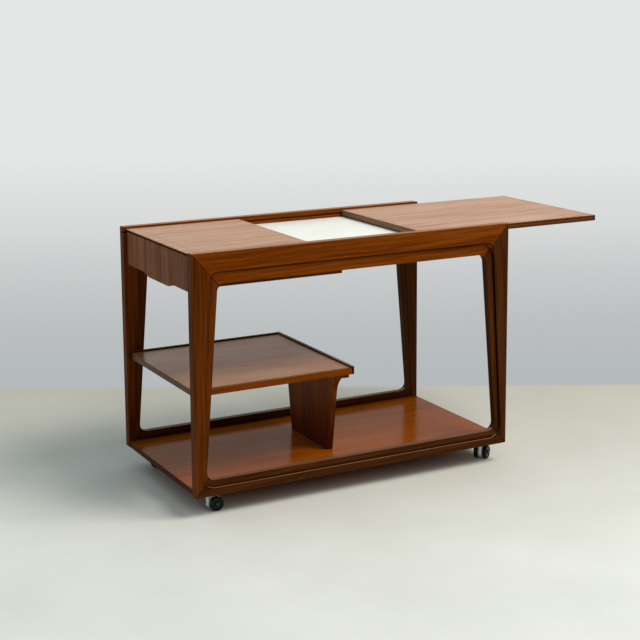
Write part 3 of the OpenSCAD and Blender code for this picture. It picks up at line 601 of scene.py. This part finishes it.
# %% Drawer and pale woods
DRAWER_TONES = (seen(92, 46, 24), seen(124, 74, 46), seen(148, 96, 62))
BEECH_TONES = (seen(168, 130, 88), seen(198, 164, 120), seen(214, 186, 146))
finish_piece("drawer_front", teak("teak_drawer_front", "Z", DRAWER_TONES, place=43,
                                  weights=(0.8, 0.05, 0.15)))
for part, way in (("drawer_near_side", "X"), ("drawer_far_side", "X"), ("drawer_back", "Y")):
    finish_piece(part, teak("teak_" + part, way, LEG_TONES, place=46))
for part, way in (("drawer_bottom", "Y"), ("front_runner", "X"), ("back_runner", "X"),
                  ("side_dowels", "Y"), ("pier_dowels", "Z"), ("front_mitre_splines", "X"),
                  ("back_mitre_splines", "X"), ("well_board", "X")):
    finish_piece(part, teak("beech_" + part, way, BEECH_TONES, place=len(finished),
                            weights=(0.4, 0.1, 0.3), rough=(0.5, 0.62)))
print("drawer and pale woods finished")

# %% [markdown]
# ## White laminate
# Between the open leaves lies a board with a white laminate. It is smooth and semi-gloss with
# a faint warm cast and the fine scuffs of use, so its colour and roughness drift a little.

# %% White laminate
laminate, tree, out = new_material("white_laminate")
where = add(tree, "ShaderNodeTexCoord")
cast = even_noise(tree, where, scale=9.0, detail=4.0)
white = ramp(tree, [(0.3, seen(230, 226, 213)), (0.7, seen(240, 237, 227))], (cast, "Fac"))
scuffs = even_noise(tree, where, scale=45.0, detail=5.0)
polish = map_range(tree, (scuffs, "Fac"), 0.3, 0.7, 0.34, 0.44)
surface(tree, out, white.outputs["Color"], (polish, "Result"))
finish_piece("well_laminate", laminate)
print("laminate finished")

# %% [markdown]
# ## Metal
# The caster hoods and plates are light grey, a dull coat in which about a third is metal. The
# screws are zinc and the axles blackened steel. All three share one cloudy finish.

# %% Metal
CLOUD_HEIGHT = 0.0001
CLOUD_DIM = 0.8


def metal(name, colour, rough, share):
    """A cloudy metal finish; share says how much of it is bare metal."""
    material, tree, out = new_material(name)
    where = add(tree, "ShaderNodeTexCoord")
    clouds = even_noise(tree, where, scale=90.0, detail=4.0)
    dim = tuple(CLOUD_DIM * c for c in colour[:3]) + (1.0,)
    tint = ramp(tree, [(0.35, dim), (0.65, colour)], (clouds, "Fac"))
    haze = map_range(tree, (clouds, "Fac"), 0.3, 0.7, rough[0], rough[1])
    raised = add(tree, "ShaderNodeBump", {"Strength": 0.1, "Distance": CLOUD_HEIGHT})
    join(tree, (clouds, "Fac"), (raised, "Height"))
    surface(tree, out, tint.outputs["Color"], (haze, "Result"), {"Metallic": share},
            (raised, "Normal"))
    return material


nickel = metal("dull_nickel", seen(206, 212, 212), (0.34, 0.46), 0.35)
zinc = metal("zinc_screws", seen(180, 182, 186), (0.35, 0.5), 1.0)
blackened = metal("blackened_steel", seen(52, 52, 54), (0.4, 0.55), 0.6)
print("three metals ready")

# %% [markdown]
# ## Black wheels
# The wheels are smooth black nylon with a little dust; their cool cast is a painted
# reflection of cool light. The pieces are then told apart by their names, and the last line
# shows whether any piece was left out.

# %% Wheels and all metal pieces
black, tree, out = new_material("black_nylon")
where = add(tree, "ShaderNodeTexCoord")
dust = even_noise(tree, where, scale=60.0, detail=5.0)
# painted reflection: the wheels' cool cast
shade = ramp(tree, [(0.4, seen(4, 15, 18)), (0.8, seen(12, 28, 32))], (dust, "Fac"))
haze = map_range(tree, (dust, "Fac"), 0.3, 0.75, 0.14, 0.26)
surface(tree, out, shade.outputs["Color"], (haze, "Result"), {"Specular IOR Level": 0.16})
for name in cart:
    if name.endswith("_wheel"):
        finish_piece(name, black)
    elif name.endswith("_axle"):
        finish_piece(name, blackened)
    elif "_caster_" in name:
        finish_piece(name, nickel)
    elif name.endswith("_screws"):
        finish_piece(name, zinc)
print("finished", len(finished), "of", len(cart), "pieces; left:", sorted(set(cart) - finished))

# %% [markdown]
# ## Eased edges
# No real edge is knife sharp. A small rounding on every arris catches a thin line of light,
# and at a mitre it leaves the fine groove that tells one piece from the next. The Bevel
# modifier adds it without touching the piece itself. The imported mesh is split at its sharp
# edges, so a Weld modifier first joins the seams.

# %% Ease the edges
SEAM = 0.00001
SHARPER_THAN = radians(35)
EASED = {"_rail": 0.0009, "_leg": 0.0009, "_panel": 0.0006, "_edge": 0.0006, "_end": 0.0006,
         "shelf_": 0.0007, "drawer_": 0.0007}


def ease(name, width):
    """A rounded arris of the given width on all sharp edges of a piece."""
    piece = cart[name]
    weld = piece.modifiers.new("weld", "WELD")
    weld.merge_threshold = SEAM
    bevel = piece.modifiers.new("ease", "BEVEL")
    bevel.width = width
    bevel.segments = 2
    bevel.limit_method = "ANGLE"
    bevel.angle_limit = SHARPER_THAN
    bevel.use_clamp_overlap = True
    shading = piece.modifiers.new("shading", "WEIGHTED_NORMAL")
    shading.keep_sharp = False


eased = []
for name in sorted(cart):
    widths = [width for key, width in EASED.items() if key in name]
    if widths:
        ease(name, widths[0])
        eased.append(name)
print("eased the edges of", len(eased), "pieces")

# %% [markdown]
# ## The floor
# The floor is a wide pale sheet, with painted shade that makes it a little browner towards
# the wall. Beyond a line behind the cart it is painted in the cool grey of a plain wall, darker
# near the line as painted shade at the wall's foot, which pales with distance until it meets
# the backdrop. No wall stands there, so nothing is in the way of a camera that looks from the
# back. Only rays that look (from the camera, off a mirror, through glass) see the paint; for
# the light the whole sheet stays a floor.

# %% Lay the floor
FLOOR_SIZE = 24.0
ahead = Vector((-sin(AZIMUTH), cos(AZIMUTH), 0))
half = FLOOR_SIZE / 2
floor_mesh = bpy.data.meshes.new("floor")
floor_mesh.from_pydata([(-half, -half, 0), (half, -half, 0), (half, half, 0), (-half, half, 0)],
                       [], [(0, 1, 2, 3)])
floor = bpy.data.objects.new("floor", floor_mesh)
bpy.context.scene.collection.objects.link(floor)
print("floor", FLOOR_SIZE, "m wide")

# %% [markdown]
# ## Paint on the floor
# The place along the view decides what the sheet shows, so a Dot Product node measures it.
# The floor itself is a dull pale surface, and the painted wall is an Emission shader, which
# keeps its colour whatever the lamps do.

# %% Paint the floor and the wall
BACKDROP = seen(229, 231, 230)
WALL_DISTANCE, WALL_BLEND = 0.733, 0.03
WALL_END = 7.0
SHADE_NEAR_WALL_FROM, SHADE_NEAR_WALL_DEPTH = -0.6, 0.9


def looking_rays(tree):
    """1 for camera, glossy and transmission rays, 0 for all others."""
    rays = add(tree, "ShaderNodeLightPath")
    looked_at = calculate(tree, "MAXIMUM", (rays, "Is Camera Ray"), (rays, "Is Glossy Ray"))
    return calculate(tree, "MAXIMUM", (looked_at, "Value"), (rays, "Is Transmission Ray"))


paint, tree, out = new_material("floor_paint")
where = add(tree, "ShaderNodeTexCoord")
away = add(tree, "ShaderNodeVectorMath", {1: tuple(ahead)}, operation="DOT_PRODUCT")
join(tree, (where, "Object"), (away, 0))
mottle = even_noise(tree, where, scale=2.5, detail=6.0)
mottle.inputs["Roughness"].default_value = 0.6
pale = ramp(tree, [(0.3, seen(212, 210, 201)), (0.7, seen(222, 220, 212))], (mottle, "Fac"))
# painted shade: the floor browner towards the wall
shade_near_wall = map_range(tree, (away, "Value"), SHADE_NEAR_WALL_FROM, WALL_DISTANCE, 0.0, SHADE_NEAR_WALL_DEPTH)
floor_colour = darkened(tree, pale.outputs["Color"], (shade_near_wall, "Result"), seen(218, 212, 202))
ground = add(tree, "ShaderNodeBsdfPrincipled", {"Roughness": 0.85, "Specular IOR Level": 0.2})
tree.links.new(floor_colour, ground.inputs["Base Color"])

wall_fade = map_range(tree, (away, "Value"), WALL_DISTANCE, WALL_END)
# painted shade: the wall darker near its foot, paler with distance
wall_tone = ramp(tree, [(0.0, seen(180, 185, 188)), (0.12, seen(186, 190, 191)),
                        (0.5, seen(214, 217, 216)), (1.0, BACKDROP)], (wall_fade, "Result"))
wall = add(tree, "ShaderNodeEmission", {"Strength": 1.0})
join(tree, (wall_tone, "Color"), (wall, "Color"))

beyond = map_range(tree, (away, "Value"), WALL_DISTANCE, WALL_DISTANCE + WALL_BLEND)
painted = calculate(tree, "MULTIPLY", (beyond, "Result"), (looking_rays(tree), "Value"))
both = add(tree, "ShaderNodeMixShader")
join(tree, (painted, "Value"), (both, "Fac"))
join(tree, (ground, "BSDF"), (both, 1))
join(tree, (wall, "Emission"), (both, 2))
join(tree, (both, "Shader"), (out, "Surface"))
floor_mesh.materials.append(paint)
print("the wall's paint begins", WALL_DISTANCE, "m behind the middle of the cart")

# %% [markdown]
# ## Lamps
# The light is that of a room with a large window: one big soft lamp stands high at the front
# right and throws the soft shadows to the left, and a weak one in front keeps the front frame
# from sinking into the dark.

# %% Lamps
MIDDLE = Vector((0.0, 0.0, 0.35))


def lamp(name, place, size, power, colour):
    """A square soft lamp at place that shines at the middle of the cart."""
    data = bpy.data.lights.new(name, "AREA")
    data.shape = "SQUARE"
    data.size = size
    data.energy = power
    data.color = colour
    made = bpy.data.objects.new(name, data)
    made.location = place
    made.rotation_euler = (MIDDLE - Vector(place)).to_track_quat("-Z", "Y").to_euler()
    bpy.context.scene.collection.objects.link(made)


lamp("window", place=(2.95, -3.3, 6.2), size=3.4, power=450, colour=(1.0, 0.97, 0.92))
lamp("front", place=(0.2, -4.4, 3.0), size=2.2, power=34, colour=(1.0, 0.98, 0.94))
print("a window and a front lamp")

# %% [markdown]
# ## The room around
# The world stands for the room. Its light comes from high up behind the cart and fades
# towards the dark side of the room, where the camera stands, and towards the floor. So
# upright faces stay deep in colour while tops pick up a pale sheen. The direction of a ray
# gives the place in that fade. Looking rays see one plain backdrop instead.

# %% Sky
DARK_SIDE, WALL_SIDE = 0.15, 0.9
DARK_UNTIL, BRIGHT_FROM = -0.5, 0.9
FOOT_OF_WALL = 0.4
FOOT_UNTIL, LIFTED_FROM = 0.05, 0.55
BRIGHT_WAY = (0.75 * ahead + Vector((-0.4, 0, 0.5))).normalized()

world = bpy.data.worlds.new("sky")
bpy.context.scene.world = world
world.use_nodes = True
sky = world.node_tree
sky.nodes.clear()
way = add(sky, "ShaderNodeTexCoord")
towards_wall = add(sky, "ShaderNodeVectorMath", {1: tuple(BRIGHT_WAY)},
                   operation="DOT_PRODUCT")
join(sky, (way, "Generated"), (towards_wall, 0))
glow = map_range(sky, (towards_wall, "Value"), DARK_UNTIL, BRIGHT_FROM, DARK_SIDE, WALL_SIDE)
height = add(sky, "ShaderNodeSeparateXYZ")
join(sky, (way, "Generated"), (height, "Vector"))
lift = map_range(sky, (height, "Z"), FOOT_UNTIL, LIFTED_FROM, FOOT_OF_WALL, 1.0)
strength = calculate(sky, "MULTIPLY", (glow, "Result"), (lift, "Result"))
lighting = add(sky, "ShaderNodeBackground", {"Color": seen(216, 235, 244)})
join(sky, (strength, "Value"), (lighting, "Strength"))
backdrop = add(sky, "ShaderNodeBackground", {"Color": BACKDROP, "Strength": 1.0})
choice = add(sky, "ShaderNodeMixShader")
sky_out = add(sky, "ShaderNodeOutputWorld")
join(sky, (looking_rays(sky), "Value"), (choice, "Fac"))
join(sky, (lighting, "Background"), (choice, 1))
join(sky, (backdrop, "Background"), (choice, 2))
join(sky, (choice, "Shader"), (sky_out, "Surface"))
print("sky from", DARK_SIDE, "to", WALL_SIDE)
